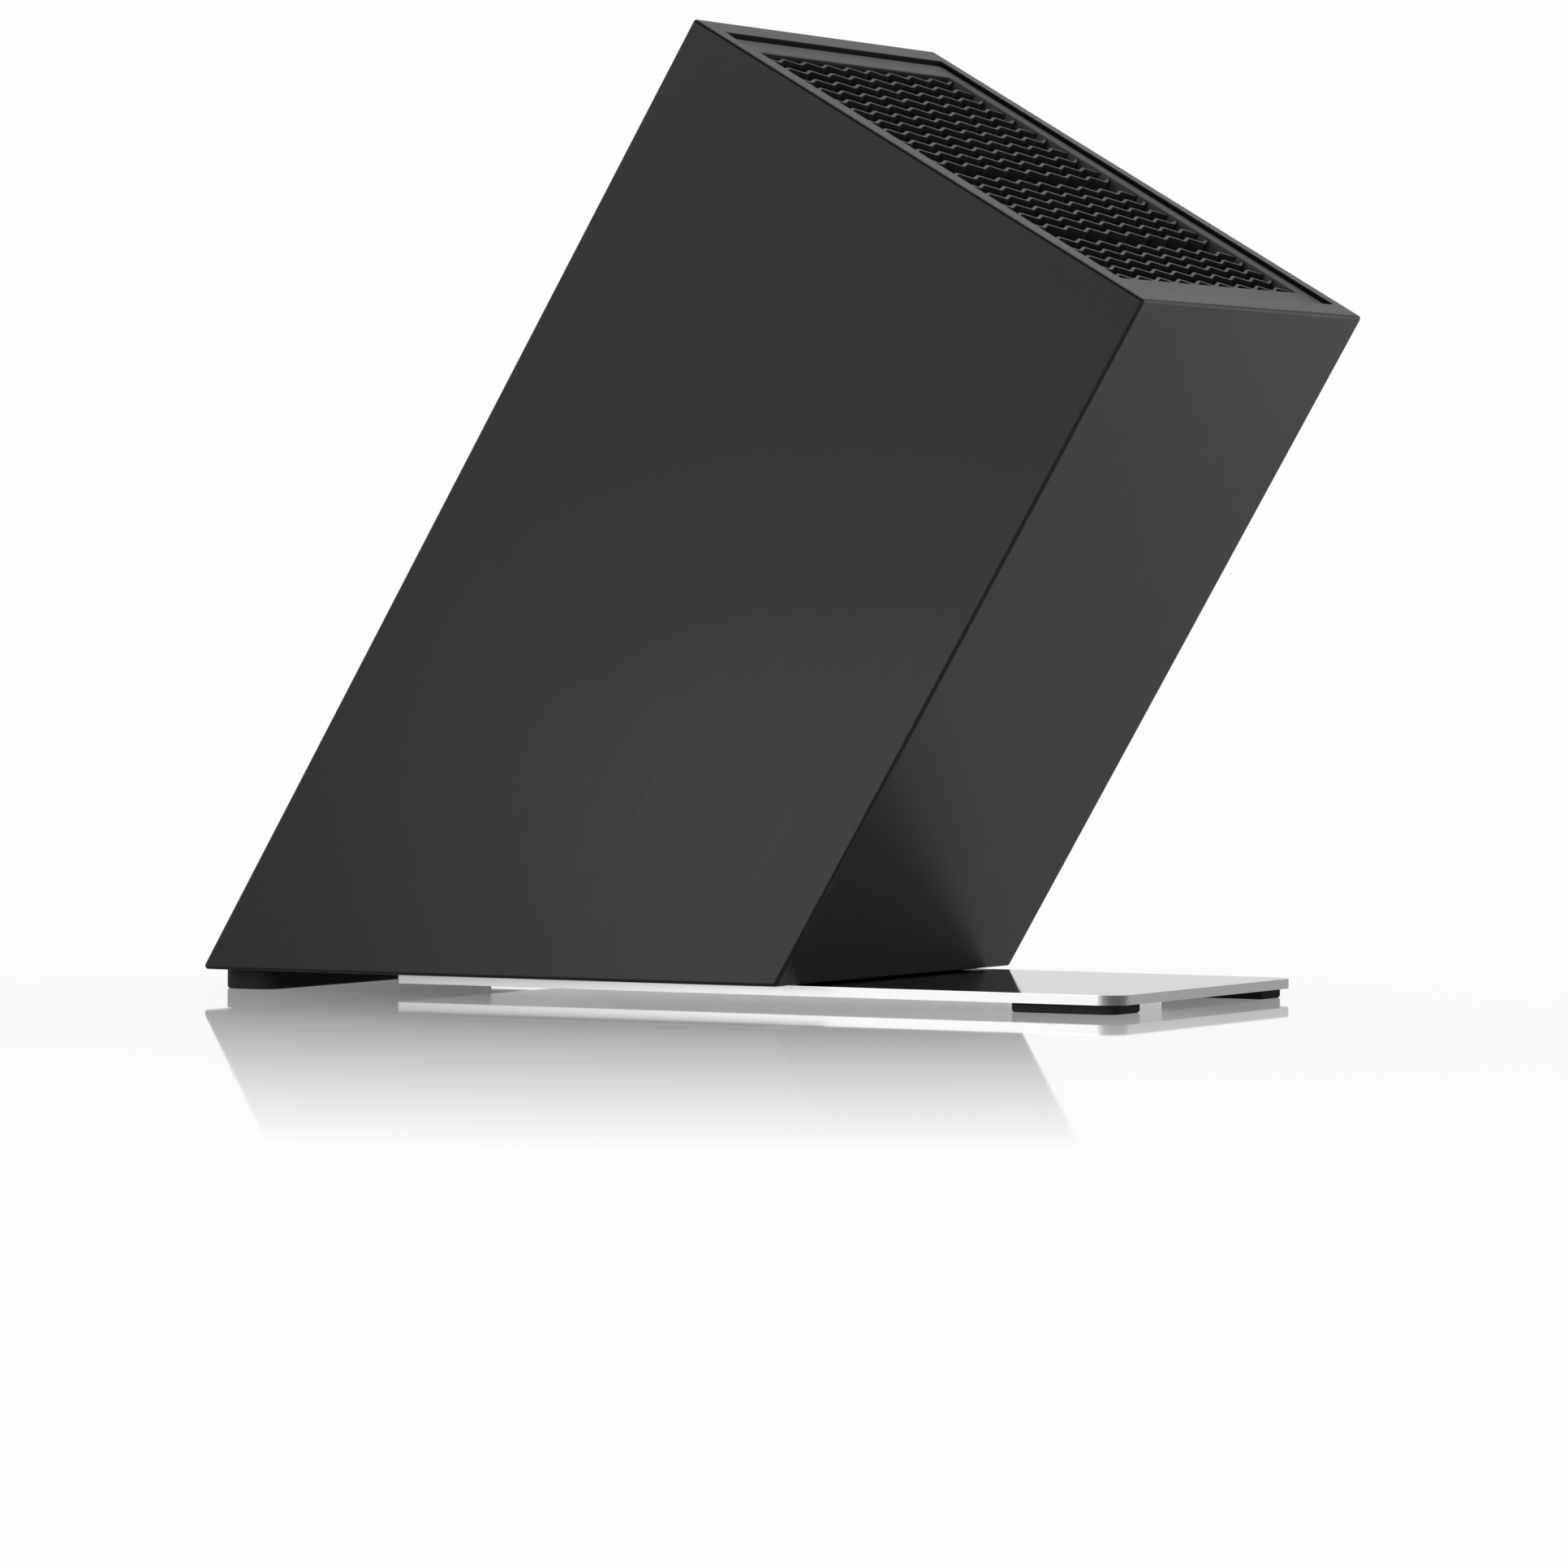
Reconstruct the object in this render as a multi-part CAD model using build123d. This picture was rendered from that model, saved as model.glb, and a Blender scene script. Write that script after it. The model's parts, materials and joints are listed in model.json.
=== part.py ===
from build123d import *
from itertools import accumulate, chain, repeat, takewhile
import math
import os

# Leaning knife block, in millimetres. +X is the way it leans, +Z is up, and the origin lies on the
# ground under the middle of the block's outline.

# Casing: a square tube that leans forwards, cut level at its foot and square at its mouth, with corners
# a step rounder than the rim and the foot that run out into them
casing_width = 130.0
casing_wall = 5.9
casing_corner_step = 0.1
bore_corner_radius = 1.5
casing_back_length = 255.0
casing_lean = 30.0
rim_radius = 0.8
bore_break = 0.2
foot_radius = 0.8

# Casing floor: the plug that closes the tube and takes the screws of the plate
floor_thickness = 6.0
floor_proud = 0.3
floor_clearance = 0.1

# Base plate: polished sheet that reaches forwards under the overhang
plate_length = 185.0
plate_width = 104.0
plate_thickness = 2.3
plate_setback = 45.0
plate_front_radius = 5.5
plate_rear_radius = 1.0

# Screws: countersunk, from under the plate into the floor
screw_diameter = 5.0
screw_head_diameter = 9.0
screw_head_height = 1.8
screw_length = 7.0
screw_clearance = 0.15
screw_socket_size = 3.0
screw_socket_depth = 1.2
screw_edge_x = 16.0
screw_edge_y = 17.0

# Feet: a rubber bar under the back and a pad under each front corner of the plate
pad_height = 2.2
pad_length = 25.5
pad_width = 14.0
pad_inset = 2.0
rear_foot_depth = 14.0
rear_foot_length = 115.0
rear_foot_setback = 0.8
rear_foot_corner_radius = 5.0
foot_edge_break = 0.4

# Insert shell: thin-walled plastic box with a flange round its mouth and guide ribs outside
insert_gap = 0.7
insert_recess = 1.0
flange_width = 6.1
flange_thickness = 3.0
flange_corner_radius = 1.5
flange_break = 0.2
opening_corner_radius = 1.2
shell_wall = 2.4
rib_width = 3.0
rib_spacing = 70.0
rib_top_drop = 20.0
rib_clearance = 0.3

# Insert base: level tray that closes the shell and carries the lamellas
base_thickness = 3.0
base_clearance = 0.15

# Lamellas: upright zigzag sheets in grooves of the shell's side walls, in three groups from the back,
# the last of which fills what is left of the opening
back_rows = 11
back_pitch = 4.78
middle_rows = 6
middle_pitch = 4.6
front_pitch = 4.25
group_step = 6.4
lamella_margin = 1.95
lamella_thickness = 0.7
lamella_swing = 1.65
lamella_bend_flat = 1.0
lamella_periods = 9
lamella_top_drop = 0.6
lamella_tab = 1.2
groove_clearance = 0.1

# Places that follow from the sizes above
lean = math.radians(casing_lean)
casing_foot = casing_width / math.cos(lean)
casing_corner_radius = max(rim_radius, foot_radius) + casing_corner_step
rim_middle = (casing_width - rim_radius) * math.cos(lean) + (casing_back_length - rim_radius) * math.sin(lean)
rim_reach = rim_middle + rim_radius
heel_reach = foot_radius * ((1 + math.sin(lean)) / math.cos(lean) - 1)
back_x = -(heel_reach + rim_reach) / 2
plate_top = pad_height + plate_thickness
casing_bottom = plate_top + floor_proud
bore_width = casing_width - 2 * casing_wall
flange_outside = bore_width - 2 * insert_gap
insert_opening = flange_outside - 2 * flange_width
shell_outside = insert_opening + 2 * shell_wall
insert_top = casing_back_length - insert_recess
lamella_top = insert_top - lamella_top_drop
floor_level = floor_thickness - floor_proud
base_level = floor_level + base_thickness
plate_back_x = back_x + plate_setback
plate_front_x = plate_back_x + plate_length

# The tube's own frame: x across the tube from its back face, y sideways, z along the tube
tube_axis = (math.sin(lean), 0, math.cos(lean))
tube_across = (math.cos(lean), 0, -math.sin(lean))
stand = Plane(origin=(back_x, 0, casing_bottom), x_dir=tube_across, z_dir=tube_axis).location


def level(height):
    # Level plane in the tube's frame, at a height above the casing's foot
    up = (-math.sin(lean), 0, math.cos(lean))
    return Plane(origin=(0, 0, height / math.cos(lean)), z_dir=up)


def above(solid, height):
    return split(solid, bisect_by=level(height), keep=Keep.TOP)


def below(solid, height):
    return split(solid, bisect_by=level(height), keep=Keep.BOTTOM)


def prism(width, radius, top, bottom=-casing_wall):
    # Square bar along the middle of the tube, in the tube's frame
    section = RectangleRounded(width, width, radius)
    return extrude(Pos(casing_width / 2, 0, bottom) * section, top - bottom)


def make_casing():
    bar = prism(casing_width, casing_corner_radius, casing_back_length)
    bar = fillet(bar.faces().sort_by(Axis.Z)[-1].edges(), rim_radius)
    tube = bar - prism(bore_width, bore_corner_radius, casing_back_length)
    rim = tube.faces().sort_by(Axis.Z)[-1]
    tube = above(chamfer(rim.inner_wires().edges(), bore_break), 0)
    foot = tube.faces().sort_by(Axis.Z)[0]
    return stand * fillet(foot.outer_wire().edges(), foot_radius)


def screw_spots():
    # Under the block, near the plate's back end and near the casing's front foot
    front = min(back_x + casing_foot, plate_front_x) - screw_edge_x
    side = plate_width / 2 - screw_edge_y
    return [(x, y) for x in (plate_back_x + screw_edge_x, front) for y in (-side, side)]


def screw_form(spot, clearance):
    # Head, cone and shank, standing on the underside of the plate
    head, shank = screw_head_diameter / 2 + clearance, screw_diameter / 2 + clearance
    cone_end = pad_height + screw_head_height
    profile = Polyline(
        (0, pad_height),
        (head, pad_height),
        (shank, cone_end),
        (shank, pad_height + screw_length),
        (0, pad_height + screw_length),
        close=True,
    )
    return Pos(*spot, 0) * revolve(Plane.XZ * make_face(profile), Axis.Z)


def make_plate_screws():
    socket = extrude(RegularPolygon(screw_socket_size / 2, 6, major_radius=False), screw_socket_depth)
    screws = [
        screw_form(spot, 0) - Pos(*spot, pad_height) * socket
        for spot in screw_spots()
    ]
    return Compound(children=screws)


def make_casing_floor():
    plug = prism(bore_width - 2 * floor_clearance, bore_corner_radius, casing_back_length)
    floor = stand * below(above(plug, -floor_proud), floor_level)
    for spot in screw_spots():
        floor -= screw_form(spot, screw_clearance)
    return floor


def make_base_plate():
    middle = (plate_back_x + plate_front_x) / 2
    sheet = extrude(Pos(middle, 0, pad_height) * Rectangle(plate_length, plate_width), plate_thickness)
    corners = sheet.edges().filter_by(Axis.Z).group_by(Axis.X)
    sheet = fillet(corners[0], plate_rear_radius)
    sheet = fillet(sheet.edges().filter_by(Axis.Z).group_by(Axis.X)[-1], plate_front_radius)
    for spot in screw_spots():
        sheet -= screw_form(spot, screw_clearance)
    return sheet


def rubber_block(outline, height):
    block = extrude(outline, height)
    return chamfer(block.faces().sort_by(Axis.Z)[0].edges(), foot_edge_break)


def make_rear_foot():
    x = back_x + rear_foot_setback + rear_foot_depth / 2
    outline = RectangleRounded(rear_foot_depth, rear_foot_length, rear_foot_corner_radius)
    return Pos(x, 0, 0) * rubber_block(outline, plate_top)


def make_front_foot(side):
    # Its outer corner follows the rounded corner of the plate
    x = plate_front_x - pad_inset - pad_length / 2
    y = side * (plate_width / 2 - pad_inset - pad_width / 2)
    outline = Rectangle(pad_length, pad_width)
    outer_corner = outline.vertices().sort_by_distance((pad_length, side * pad_width))[0]
    outline = fillet(outer_corner, plate_front_radius - pad_inset)
    return Pos(x, y, 0) * rubber_block(outline, pad_height)


def lamella_places():
    # Middle of each lamella across the tube, from the back wall to the front wall
    first = (casing_width - insert_opening) / 2 + lamella_margin
    last = casing_width - first
    back = repeat(back_pitch, back_rows - 1)
    middle = repeat(middle_pitch, middle_rows - 1)
    steps = chain(back, [group_step], middle, [group_step], repeat(front_pitch))
    return list(takewhile(lambda place: place <= last, accumulate(steps, initial=first)))


def first_bend(index):
    # Neighbours swing opposite ways, so that the sheets part and close in turn
    return lamella_swing / 2 * (-1 if index % 2 == 0 else 1)


def make_guide_ribs():
    height = insert_top - rib_top_drop
    reach = bore_width - 2 * rib_clearance
    ribs = Part()
    for side in (-rib_spacing / 2, rib_spacing / 2):
        along = Pos(casing_width / 2 + side, 0, height / 2) * Box(rib_width, reach, height)
        across = Pos(casing_width / 2, side, height / 2) * Box(reach, rib_width, height)
        ribs += [along, across]
    return ribs


def make_insert_shell():
    flange = prism(flange_outside, flange_corner_radius, insert_top, insert_top - flange_thickness)
    shell = prism(shell_outside, flange_corner_radius, insert_top) + flange + make_guide_ribs()
    shell -= prism(insert_opening, opening_corner_radius, insert_top)
    shell = chamfer(shell.faces().sort_by(Axis.Z)[-1].edges(), flange_break)
    groove_width = lamella_thickness + 2 * groove_clearance
    groove_span = insert_opening + 2 * (lamella_tab + groove_clearance)
    groove_top = lamella_top + groove_clearance
    grooves = [
        Pos(place + first_bend(index), 0, groove_top / 2) * Box(groove_width, groove_span, groove_top)
        for index, place in enumerate(lamella_places())
    ]
    return stand * above(shell - grooves, floor_level)


def make_insert_base():
    block = prism(insert_opening - 2 * base_clearance, opening_corner_radius, insert_top)
    return stand * below(above(block, floor_level), base_level)


def make_lamella(index, place):
    # Zigzag from wall to wall with flattened bends, and a straight tab at each end that slides in its groove
    step = insert_opening / (2 * lamella_periods)
    tab_end = insert_opening / 2 + lamella_tab
    points = []
    for bend in range(2 * lamella_periods + 1):
        x = place + first_bend(index) * (-1) ** bend
        y = bend * step - insert_opening / 2
        points += [(x, y - lamella_bend_flat / 2), (x, y + lamella_bend_flat / 2)]
    points[0], points[-1] = (points[0][0], -tab_end), (points[-1][0], tab_end)
    ribbon = offset(Polyline(*points), lamella_thickness / 2, kind=Kind.INTERSECTION, side=Side.BOTH)
    window = Pos(casing_width / 2, 0) * Rectangle(casing_width, 2 * tab_end)
    sheet = extrude(make_face(ribbon.edges()) & window, lamella_top)
    return stand * above(sheet, base_level)


nodes = {
    "casing": make_casing(),
    "casing_floor": make_casing_floor(),
    "base_plate": make_base_plate(),
    "plate_screws": make_plate_screws(),
    "rear_foot": make_rear_foot(),
    "front_foot_left": make_front_foot(1),
    "front_foot_right": make_front_foot(-1),
    "insert_shell": make_insert_shell(),
    "insert_base": make_insert_base(),
}
for index, place in enumerate(lamella_places()):
    nodes[f"lamella_{index + 1:02d}"] = make_lamella(index, place)

os.makedirs("parts", exist_ok=True)
for name, solid in nodes.items():
    export_step(solid, f"parts/{name}.step")
    print(name, round(solid.volume))
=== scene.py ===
import bpy
import json
import math
from mathutils import Matrix, Vector

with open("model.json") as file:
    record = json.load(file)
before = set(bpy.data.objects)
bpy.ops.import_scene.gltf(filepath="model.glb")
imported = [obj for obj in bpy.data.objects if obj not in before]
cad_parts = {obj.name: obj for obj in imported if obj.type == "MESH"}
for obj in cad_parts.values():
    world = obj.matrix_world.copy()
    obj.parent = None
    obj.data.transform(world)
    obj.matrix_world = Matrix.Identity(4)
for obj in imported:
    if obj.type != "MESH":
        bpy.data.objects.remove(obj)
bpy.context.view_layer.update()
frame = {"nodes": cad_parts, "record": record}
nodes = frame["nodes"]
leanAngle = math.radians(30)  # the tube leans this far from upright, towards +X
print("frame loaded:", len(nodes), "nodes")


# Node helpers

def addNode(tree, kind, **values):
    node = tree.nodes.new(kind)
    for name, value in values.items():
        setattr(node, name, value)
    return node


def wire(tree, source, target):
    tree.links.new(source, target)


def startMaterial(name, **sockets):
    material = bpy.data.materials.new(name)
    material.use_nodes = True
    tree = material.node_tree
    surface = tree.nodes["Principled BSDF"]
    for socket, value in sockets.items():
        surface.inputs[socket.replace("_", " ")].default_value = value
    return material, tree, surface


def startGroup(name, inputs, outputs):
    group = bpy.data.node_groups.new(name, "ShaderNodeTree")
    for socket, kind in inputs.items():
        group.interface.new_socket(socket, in_out="INPUT", socket_type=kind)
    for socket, kind in outputs.items():
        group.interface.new_socket(socket, in_out="OUTPUT", socket_type=kind)
    return group, group.nodes.new("NodeGroupInput"), group.nodes.new("NodeGroupOutput")


def placeGroup(tree, group, **values):
    node = addNode(tree, "ShaderNodeGroup", node_tree=group)
    for socket, value in values.items():
        node.inputs[socket].default_value = value
    return node


def objectCoordinates(tree, turn=(0, 0, 0)):
    coordinates = addNode(tree, "ShaderNodeTexCoord")
    mapping = addNode(tree, "ShaderNodeMapping")
    mapping.inputs["Rotation"].default_value = turn
    wire(tree, coordinates.outputs["Object"], mapping.inputs["Vector"])
    return mapping.outputs["Vector"]


def calculate(tree, operation, first, second):
    node = addNode(tree, "ShaderNodeMath", operation=operation)
    wire(tree, first, node.inputs[0])
    if isinstance(second, bpy.types.NodeSocket):
        wire(tree, second, node.inputs[1])
    else:
        node.inputs[1].default_value = second
    return node.outputs["Value"]


def remap(tree, value, low, high, start=0, end=1, curve="LINEAR"):
    spread = addNode(tree, "ShaderNodeMapRange", interpolation_type=curve)
    spread.inputs["From Min"].default_value = start
    spread.inputs["From Max"].default_value = end
    spread.inputs["To Min"].default_value = low
    spread.inputs["To Max"].default_value = high
    wire(tree, value, spread.inputs["Value"])
    return spread.outputs["Result"]


def tint(tree, value, dark, light):
    blend = addNode(tree, "ShaderNodeMix", data_type="RGBA")
    blend.inputs["A"].default_value = (*dark, 1)
    blend.inputs["B"].default_value = (*light, 1)
    wire(tree, value, blend.inputs["Factor"])
    return blend.outputs["Result"]


def overColour(tree, mask, colour, other):
    blend = addNode(tree, "ShaderNodeMix", data_type="RGBA")
    blend.inputs["B"].default_value = (*other, 1)
    wire(tree, mask, blend.inputs["Factor"])
    wire(tree, colour, blend.inputs["A"])
    return blend.outputs["Result"]


def overValue(tree, mask, value, other):
    blend = addNode(tree, "ShaderNodeMix")
    blend.inputs["B"].default_value = other
    wire(tree, mask, blend.inputs["Factor"])
    wire(tree, value, blend.inputs["A"])
    return blend.outputs["Result"]


def mixShaders(tree, factor, first, second):
    blend = addNode(tree, "ShaderNodeMixShader")
    wire(tree, factor, blend.inputs["Fac"])
    wire(tree, first, blend.inputs[1])
    wire(tree, second, blend.inputs[2])
    return blend.outputs["Shader"]


bumpDepth = 0.0001  # deepest line or grain at full strength


def bump(tree, height, strength):
    node = addNode(tree, "ShaderNodeBump")
    node.inputs["Strength"].default_value = strength
    node.inputs["Distance"].default_value = bumpDepth
    wire(tree, height, node.inputs["Height"])
    return node.outputs["Normal"]


# Shared effects

brushingLook = {
    "detail": 4,
    "roughness": 0.6,
}
grainLook = {
    "fineDetail": 3,
    "cloudScale": 60,
    "cloudDetail": 5,
}


def makeBrushing():
    # Fine lines that run along Z: noise squeezed across and stretched along
    group, given, result = startGroup(
        "brushing",
        {"Vector": "NodeSocketVector", "Across": "NodeSocketFloat", "Along": "NodeSocketFloat"},
        {"Lines": "NodeSocketFloat"},
    )
    stretch = addNode(group, "ShaderNodeCombineXYZ")
    scaled = addNode(group, "ShaderNodeVectorMath", operation="MULTIPLY")
    noise = addNode(group, "ShaderNodeTexNoise")
    noise.inputs["Scale"].default_value = 1  # the coordinates are scaled already
    noise.inputs["Detail"].default_value = brushingLook["detail"]
    noise.inputs["Roughness"].default_value = brushingLook["roughness"]
    wire(group, given.outputs["Across"], stretch.inputs["X"])
    wire(group, given.outputs["Across"], stretch.inputs["Y"])
    wire(group, given.outputs["Along"], stretch.inputs["Z"])
    wire(group, given.outputs["Vector"], scaled.inputs[0])
    wire(group, stretch.outputs["Vector"], scaled.inputs[1])
    wire(group, scaled.outputs["Vector"], noise.inputs["Vector"])
    wire(group, noise.outputs["Fac"], result.inputs["Lines"])
    return group


def makeGrain():
    # Spark-eroded mould skin: fine noise for the relief, clouds for the shade
    group, given, result = startGroup(
        "mouldGrain",
        {"Vector": "NodeSocketVector", "Scale": "NodeSocketFloat"},
        {"Grain": "NodeSocketFloat", "Cloud": "NodeSocketFloat"},
    )
    fine = addNode(group, "ShaderNodeTexNoise")
    fine.inputs["Detail"].default_value = grainLook["fineDetail"]
    cloud = addNode(group, "ShaderNodeTexNoise")
    cloud.inputs["Scale"].default_value = grainLook["cloudScale"]
    cloud.inputs["Detail"].default_value = grainLook["cloudDetail"]
    wire(group, given.outputs["Vector"], fine.inputs["Vector"])
    wire(group, given.outputs["Scale"], fine.inputs["Scale"])
    wire(group, given.outputs["Vector"], cloud.inputs["Vector"])
    wire(group, fine.outputs["Fac"], result.inputs["Grain"])
    wire(group, cloud.outputs["Fac"], result.inputs["Cloud"])
    return group


brushing = makeBrushing()
mouldGrain = makeGrain()
print("shared effects built")


# Casing: black anodised tube, finely brushed along its length, with a rougher bore whose colour is darkened
# as painted shade

casingLook = {
    "ior": 1.45,
    "dark": (0.005, 0.005, 0.0052),
    "light": (0.0075, 0.0075, 0.0077),
    "rough": (0.28, 0.38),
    "linesAcross": 1500,
    "linesAlong": 8,
    "bump": 0.12,
    # painted shade: the bore's colour is darker than the outside, standing in for the shade inside the tube
    "boreShade": (0.003, 0.003, 0.003),
    "boreRough": 0.9,
    "boreMiddle": -0.0415,  # middle of the tube across its lean, in its turned coordinates
    "boreReach": 0.0592,  # a little over half of the bore's width, so that its walls are inside
}


def boreMask(tree, along):
    # One inside the tube, zero on its outside and rim
    shift = addNode(tree, "ShaderNodeVectorMath", operation="SUBTRACT")
    shift.inputs[1].default_value = (casingLook["boreMiddle"], 0, 0)
    wire(tree, along, shift.inputs[0])
    size = addNode(tree, "ShaderNodeVectorMath", operation="ABSOLUTE")
    wire(tree, shift.outputs["Vector"], size.inputs[0])
    split = addNode(tree, "ShaderNodeSeparateXYZ")
    wire(tree, size.outputs["Vector"], split.inputs["Vector"])
    farther = calculate(tree, "MAXIMUM", split.outputs["X"], split.outputs["Y"])
    return calculate(tree, "LESS_THAN", farther, casingLook["boreReach"])


def makeAnodised():
    look = casingLook
    material, tree, surface = startMaterial("blackAnodised", IOR=look["ior"])
    along = objectCoordinates(tree, (0, -leanAngle, 0))  # Z along the tube
    brushed = placeGroup(tree, brushing, Across=look["linesAcross"], Along=look["linesAlong"])
    wire(tree, along, brushed.inputs["Vector"])
    lines = brushed.outputs["Lines"]
    inside = boreMask(tree, along)
    colour = tint(tree, lines, look["dark"], look["light"])
    rough = remap(tree, lines, *look["rough"])
    # painted shade: inside the tube the base colour is set darker
    wire(tree, overColour(tree, inside, colour, look["boreShade"]), surface.inputs["Base Color"])
    wire(tree, overValue(tree, inside, rough, look["boreRough"]), surface.inputs["Roughness"])
    wire(tree, bump(tree, lines, look["bump"]), surface.inputs["Normal"])
    return material


# Plate: polished stainless sheet with faint lines along its length, duller on its edge and underside

plateLook = {
    "dark": (0.60, 0.60, 0.595),
    "light": (0.68, 0.68, 0.675),
    "grazing": (0.57, 0.57, 0.57, 1),  # tint of the metal at a low angle
    "rough": (0.02, 0.05),
    "linesAcross": 1800,
    "linesAlong": 12,
    "bump": 0.02,
    "edgeRough": 0.32,
    "edgeHeight": 0.00445,  # just below the top
    "under": (0.50, 0.50, 0.50),
    "underRough": 0.18,
    "underHeight": 0.00225,  # just above the underside
}


def belowMask(tree, height):
    # One below a height, zero above it
    split = addNode(tree, "ShaderNodeSeparateXYZ")
    wire(tree, objectCoordinates(tree), split.inputs["Vector"])
    return calculate(tree, "LESS_THAN", split.outputs["Z"], height)


def makeSteel():
    look = plateLook
    material, tree, surface = startMaterial("polishedSteel", Metallic=1, Specular_Tint=look["grazing"])
    along = objectCoordinates(tree, (0, math.radians(90), 0))  # Z along the plate
    brushed = placeGroup(tree, brushing, Across=look["linesAcross"], Along=look["linesAlong"])
    wire(tree, along, brushed.inputs["Vector"])
    lines = brushed.outputs["Lines"]
    belowTop = belowMask(tree, look["edgeHeight"])
    under = belowMask(tree, look["underHeight"])
    colour = tint(tree, lines, look["dark"], look["light"])
    rough = overValue(tree, belowTop, remap(tree, lines, *look["rough"]), look["edgeRough"])
    wire(tree, overColour(tree, under, colour, look["under"]), surface.inputs["Base Color"])
    wire(tree, overValue(tree, under, rough, look["underRough"]), surface.inputs["Roughness"])
    wire(tree, bump(tree, lines, look["bump"]), surface.inputs["Normal"])
    return material


# Moulded pieces: insert, lamellas and rubber feet share one skin with their own values

mouldedLooks = {
    "insertPlastic": {
        "dark": (0.055, 0.055, 0.055),
        "light": (0.07, 0.07, 0.07),
        "rough": (0.38, 0.48),
        "grain": 2400,
        "bump": 0.15,
    },
    # painted shade: the same black plastic as the insert, set darker so that the walls between the lamellas
    # look shaded
    "lamellaShadedPlastic": {
        "dark": (0.026, 0.026, 0.026),
        "light": (0.034, 0.034, 0.034),
        "rough": (0.34, 0.44),
        "grain": 3000,
        "bump": 0.1,
    },
    "blackRubber": {
        "dark": (0.018, 0.018, 0.018),
        "light": (0.026, 0.026, 0.026),
        "rough": (0.7, 0.85),
        "grain": 1800,
        "bump": 0.3,
    },
}


def makeMoulded(name):
    look = mouldedLooks[name]
    material, tree, surface = startMaterial(name)
    skin = placeGroup(tree, mouldGrain, Scale=look["grain"])
    wire(tree, objectCoordinates(tree), skin.inputs["Vector"])
    wire(tree, tint(tree, skin.outputs["Cloud"], look["dark"], look["light"]), surface.inputs["Base Color"])
    wire(tree, remap(tree, skin.outputs["Cloud"], *look["rough"]), surface.inputs["Roughness"])
    wire(tree, bump(tree, skin.outputs["Grain"], look["bump"]), surface.inputs["Normal"])
    return material


finishes = {
    "casing": makeAnodised(),
    "plate": makeSteel(),
    "insert": makeMoulded("insertPlastic"),
    "lamella": makeMoulded("lamellaShadedPlastic"),
    "rubber": makeMoulded("blackRubber"),
}
finishes["floor"] = finishes["casing"]
finishes["screw"] = finishes["plate"]
for part in frame["record"]["subparts"]:
    node = nodes[part["node"]]
    node.data.materials.clear()
    node.data.materials.append(finishes[part["material_slot"]])


# Stage: glossy floor that fades into white, under air that is bright at the horizon and dim overhead

backgroundWhite = 0.985  # floor and air as the camera sees them
stageLook = {
    "size": 40.0,
    "colour": (0.4, 0.4, 0.4, 1),
    "farColour": (0.8, 0.8, 0.8, 1),
    "roughness": 0.03,
    "mirrorEnd": (0.08, 0.56),  # distances from the middle between which it fades to white for the camera
    "plainEnd": (0.5, 1.3),  # the same for all other rays
    "lift": 0.15,  # glow of the glossy part where it is seen
}
airLook = {
    "stops": [(0, 1.0), (0.21, 0.95), (0.30, 0.40), (0.38, 0.08), (1, 0.04)],  # height's sine, brightness
    "dimSide": (0.95, -0.3, 0),  # way to the dim side, to the right of the camera
    "dimFrom": -0.4,  # cosine of the angle from that way at which the dimming starts
    "dim": 0.0,  # share of the brightness that is left at the end of it
}


def makeFloorFinish():
    look = stageLook
    material, tree, surface = startMaterial(
        "paleFloor", Base_Color=look["colour"], Roughness=look["roughness"], Emission_Color=(1, 1, 1, 1)
    )
    rays = addNode(tree, "ShaderNodeLightPath").outputs
    seen = calculate(tree, "MAXIMUM", rays["Is Camera Ray"], rays["Is Glossy Ray"])
    seen = calculate(tree, "MAXIMUM", seen, rays["Is Transmission Ray"])
    wire(tree, calculate(tree, "MULTIPLY", seen, look["lift"]), surface.inputs["Emission Strength"])
    plain = addNode(tree, "ShaderNodeBsdfDiffuse")
    plain.inputs["Color"].default_value = look["farColour"]
    glow = addNode(tree, "ShaderNodeEmission")
    glow.inputs["Strength"].default_value = backgroundWhite
    far = mixShaders(tree, seen, plain.outputs["BSDF"], glow.outputs["Emission"])
    distance = addNode(tree, "ShaderNodeVectorMath", operation="LENGTH")
    wire(tree, objectCoordinates(tree), distance.inputs[0])
    fade = addNode(tree, "ShaderNodeMix")
    wire(tree, rays["Is Camera Ray"], fade.inputs["Factor"])
    wire(tree, remap(tree, distance.outputs["Value"], 0, 1, *look["plainEnd"]), fade.inputs["A"])
    wire(tree, remap(tree, distance.outputs["Value"], 0, 1, *look["mirrorEnd"]), fade.inputs["B"])
    whole = mixShaders(tree, fade.outputs["Result"], surface.outputs["BSDF"], far)
    wire(tree, whole, tree.nodes["Material Output"].inputs["Surface"])
    return material


def makeFloor():
    bpy.ops.object.select_all(action="DESELECT")
    bpy.ops.mesh.primitive_plane_add(size=stageLook["size"])
    floor = bpy.context.object
    floor.name = "floor"
    floor.data.materials.append(makeFloorFinish())


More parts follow.
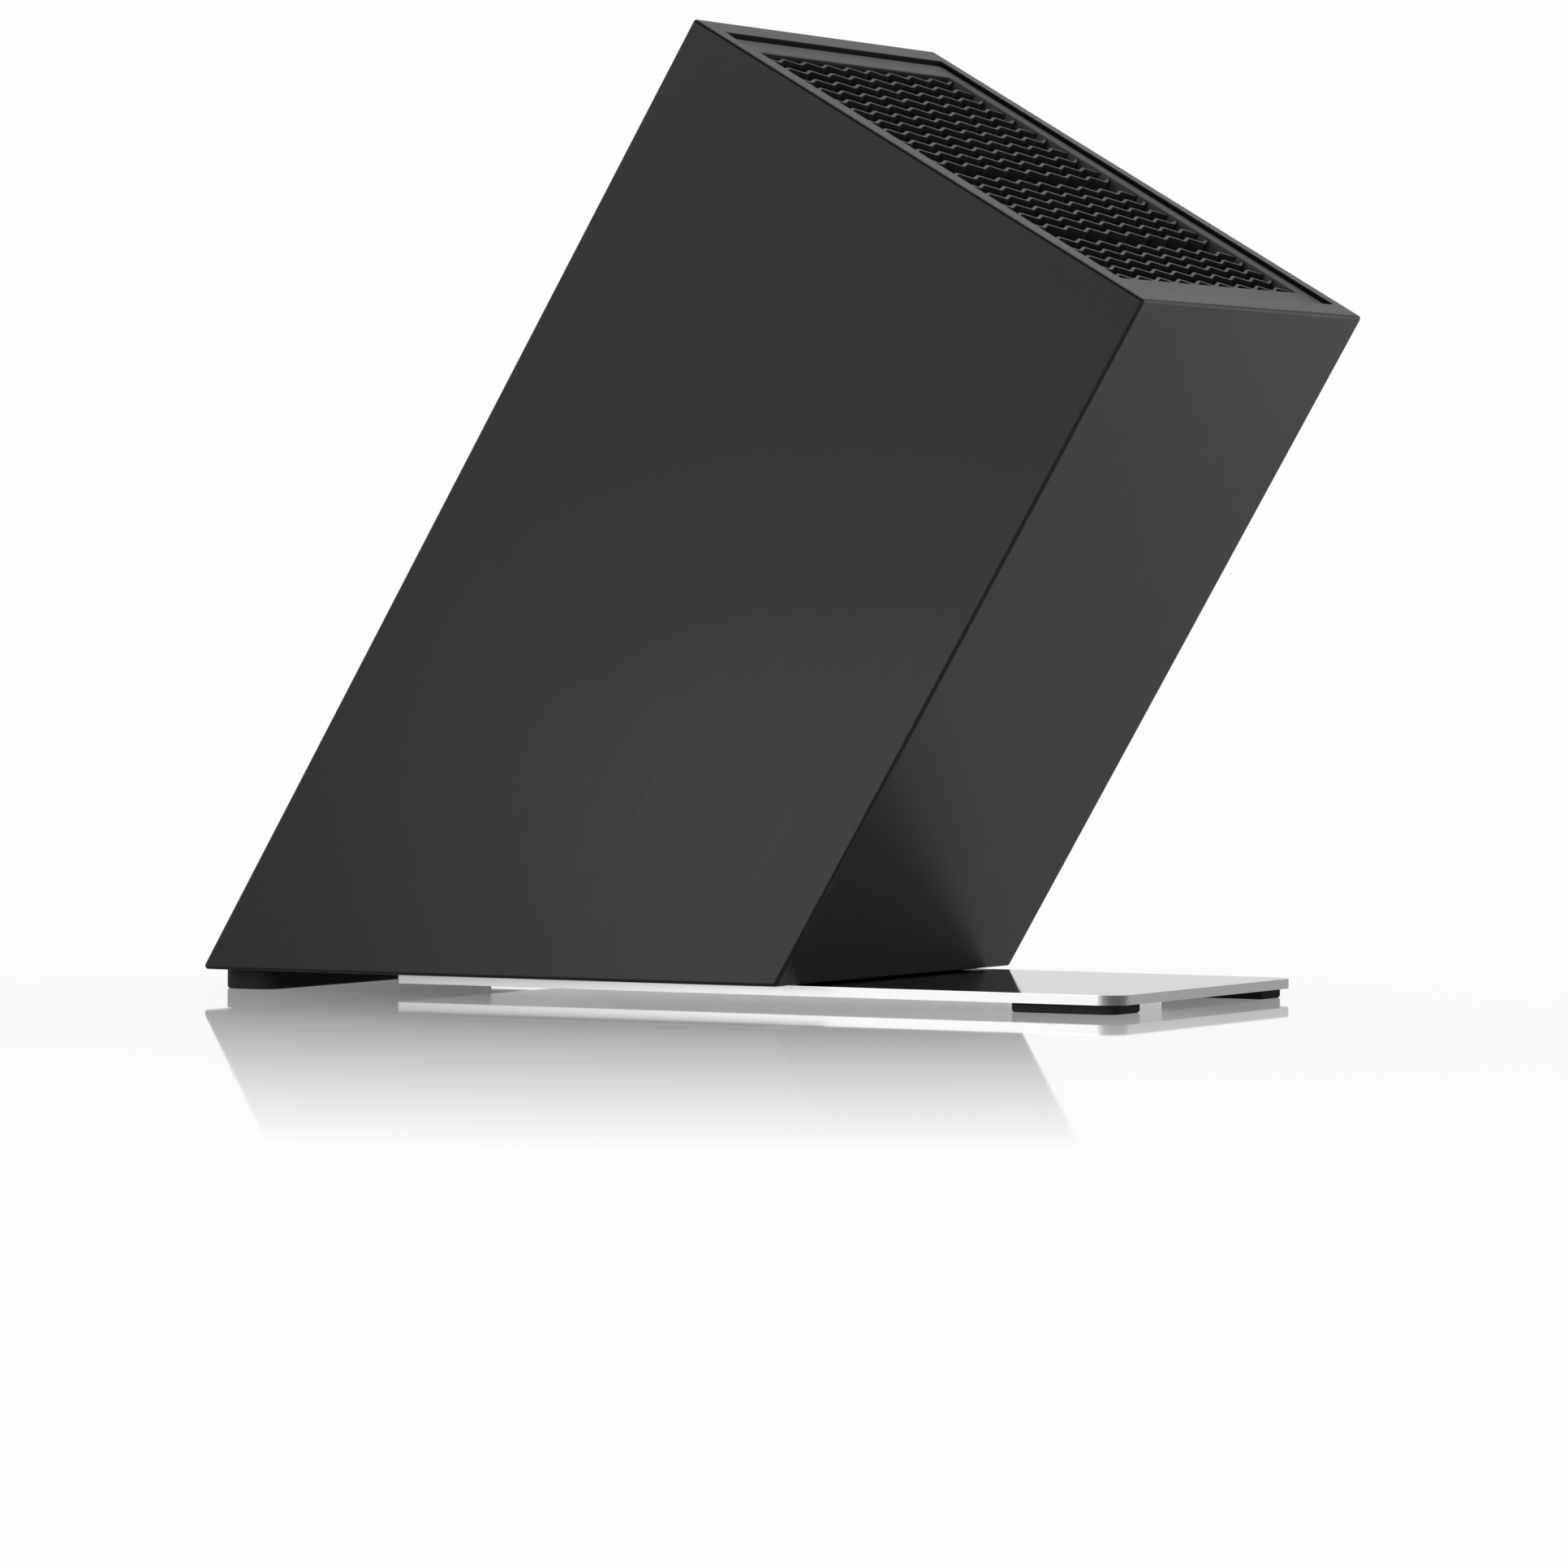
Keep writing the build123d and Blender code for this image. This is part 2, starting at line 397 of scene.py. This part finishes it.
def makeAir():
    look = airLook
    world = bpy.data.worlds.new("air")
    world.use_nodes = True
    tree = world.node_tree
    way = addNode(tree, "ShaderNodeTexCoord").outputs["Generated"]
    split = addNode(tree, "ShaderNodeSeparateXYZ")
    wire(tree, way, split.inputs["Vector"])
    ramp = addNode(tree, "ShaderNodeValToRGB")
    stops = ramp.color_ramp.elements
    while len(stops) < len(look["stops"]):
        stops.new(0.5)  # its place is set below
    for stop, (place, value) in zip(stops, look["stops"]):
        stop.position = place
        stop.color = (value, value, value, 1)
    wire(tree, split.outputs["Z"], ramp.inputs["Fac"])
    side = addNode(tree, "ShaderNodeVectorMath", operation="DOT_PRODUCT")
    side.inputs[1].default_value = look["dimSide"]
    wire(tree, way, side.inputs[0])
    share = remap(tree, side.outputs["Value"], 1, look["dim"], start=look["dimFrom"], curve="SMOOTHSTEP")
    dimmed = calculate(tree, "MULTIPLY", ramp.outputs["Color"], share)
    rays = addNode(tree, "ShaderNodeLightPath")
    level = overValue(tree, rays.outputs["Is Camera Ray"], dimmed, backgroundWhite)
    wire(tree, level, tree.nodes["Background"].inputs["Color"])
    bpy.context.scene.world = world


makeFloor()
makeAir()
print("stage set")


# Lamps: soft boxes given by place, target, size, power and whether reflections show them

lamps = {
    "topBox": {  # light from above
        "place": (0.45, 0.5, 1.2),
        "target": (0, 0, 0),
        "size": (1.4, 1.4),
        "power": 9,
        "mirrored": True,
    },
    "backBox": {  # sheen of the rim and the flange
        "place": (-0.48, 1.08, 0.8),
        "target": (0, 0, 0.2),
        "size": (1.0, 0.6),
        "power": 0.65,
        "mirrored": True,
    },
    "fillBox": {  # light from the camera's side
        "place": (0.2, -1.3, 0.6),
        "target": (0, 0, 0.05),
        "size": (1.2, 1.0),
        "power": 8,
        "mirrored": False,
    },
    "sideBox": {  # sheen of the back
        "place": (-0.68, -0.82, 0.62),
        "target": (0, 0, 0.1),
        "size": (0.9, 0.7),
        "power": 1.2,
        "mirrored": True,
    },
    "frontStrip": {  # sheen of the plate's near edge
        "place": (-0.1, -0.45, 0.035),
        "target": (0.02, 0, 0.035),
        "size": (0.245, 0.06),
        "power": 0.1,
        "mirrored": True,
    },
}


def makeLamp(name):
    look = lamps[name]
    data = bpy.data.lights.new(name, "AREA")
    data.shape = "RECTANGLE"
    data.size, data.size_y = look["size"]
    data.energy = look["power"]
    lamp = bpy.data.objects.new(name, data)
    lamp.visible_camera = False
    lamp.visible_glossy = look["mirrored"]
    bpy.context.scene.collection.objects.link(lamp)
    aim = Vector(look["target"]) - Vector(look["place"])
    lamp.matrix_world = Matrix.Translation(look["place"]) @ aim.to_track_quat("-Z", "Y").to_matrix().to_4x4()


for name in lamps:
    makeLamp(name)
print("lamps lit:", len(lamps))


# Camera: long lens, just above the worktop

cameraLook = {
    "place": (0.881661, -1.827256, 0.099534),
    "yaw": 25.7485,
    "pitch": -1.4178,
    "roll": 0.4638,
    "lens": 197.404,
    "clipEnd": 50,  # past the floor's corners
}


def makeCamera():
    look = cameraLook
    data = bpy.data.cameras.new("camera")
    data.lens = look["lens"]
    data.clip_end = look["clipEnd"]
    camera = bpy.data.objects.new("camera", data)
    bpy.context.scene.collection.objects.link(camera)
    turn = Matrix.Rotation(math.radians(look["yaw"]), 4, "Z")
    tilt = Matrix.Rotation(math.radians(90 + look["pitch"]), 4, "X")  # 90 looks level
    roll = Matrix.Rotation(math.radians(look["roll"]), 4, "Z")
    camera.matrix_world = Matrix.Translation(look["place"]) @ turn @ tilt @ roll
    bpy.context.scene.camera = camera


makeCamera()
bpy.context.scene.view_settings.view_transform = "Standard"
print("camera placed")
